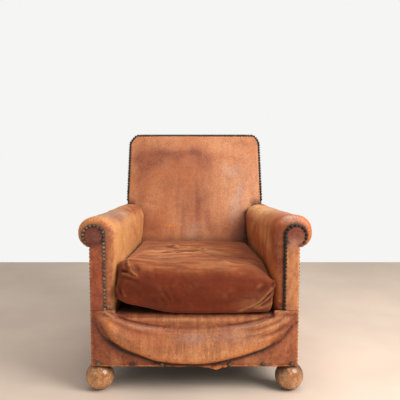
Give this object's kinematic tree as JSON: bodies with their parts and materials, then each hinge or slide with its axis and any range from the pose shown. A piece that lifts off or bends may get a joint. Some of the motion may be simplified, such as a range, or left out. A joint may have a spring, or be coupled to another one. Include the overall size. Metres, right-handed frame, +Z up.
{
  "type": "worn club chair",
  "caption": "Low club chair with rolled arms, a raked nailed back, worn leather, a loose velvet cushion, a sagging front apron and ball feet.",
  "frame": {"origin": "centre of the footprint, on the floor", "axes": "+Z up, the seat opens towards -Y, +X to the right of a person who looks at its front"},
  "size_m": [0.7478, 0.8273, 0.84],
  "materials": {
    "tan_leather": "worn aniline sheepskin, satin, cracked and rubbed pale on the arms",
    "russet_leather": "worn reddish brown leather, satin, rubbed at its edges",
    "velvet": "short brown pile, dull with a soft sheen where it is crushed",
    "beech": "sawn, unfinished",
    "worn_oak": "turned, dry and bleached, with dark grain and scuffs",
    "aged_bronze": "dark patina with bright rubbed tops",
    "spring_steel": "dull, lightly rusted",
    "jute": "coarse woven jute",
    "stuffing": "matted fibre",
    "lining": "plain black lining cloth"
  },
  "bodies": {
    "root": {"arm_cover_left": "tan_leather", "arm_cover_right": "tan_leather", "inside_back_cover": "tan_leather", "front_apron": "tan_leather", "arm_facing_left": "russet_leather", "arm_facing_right": "russet_leather", "outside_arm_left": "russet_leather", "outside_arm_right": "russet_leather", "back_border": "russet_leather", "outside_back_cover": "russet_leather", "seat_deck": "russet_leather", "seat_cushion": "velvet", "front_foot_left": "worn_oak", "front_foot_right": "worn_oak", "front_post_left": "beech", "front_post_right": "beech", "back_upright_left": "beech", "back_upright_right": "beech", "side_rail_left": "beech", "side_rail_right": "beech", "arm_rail_left": "beech", "arm_rail_right": "beech", "front_corner_block_left": "beech", "front_corner_block_right": "beech", "rear_corner_block_left": "beech", "rear_corner_block_right": "beech", "front_rail": "beech", "rear_rail": "beech", "back_lower_rail": "beech", "back_top_rail": "beech", "arm_nails_left": "aged_bronze", "arm_nails_right": "aged_bronze", "side_nails_left": "aged_bronze", "side_nails_right": "aged_bronze", "back_nails": "aged_bronze", "rear_nails": "aged_bronze", "apron_nail_1": "aged_bronze", "apron_nail_2": "aged_bronze", "apron_nail_3": "aged_bronze", "apron_nail_4": "aged_bronze", "apron_nail_5": "aged_bronze", "apron_nail_6": "aged_bronze", "seat_spring_1": "spring_steel", "seat_spring_2": "spring_steel", "seat_spring_3": "spring_steel", "seat_spring_4": "spring_steel", "seat_spring_5": "spring_steel", "seat_spring_6": "spring_steel", "seat_spring_7": "spring_steel", "seat_spring_8": "spring_steel", "seat_spring_9": "spring_steel", "seat_webbing": "jute", "back_webbing": "jute", "seat_canvas": "jute", "seat_stuffing": "stuffing", "back_stuffing": "stuffing", "arm_stuffing_left": "stuffing", "arm_stuffing_right": "stuffing", "dust_cover": "lining"}
  },
  "joints": []
}
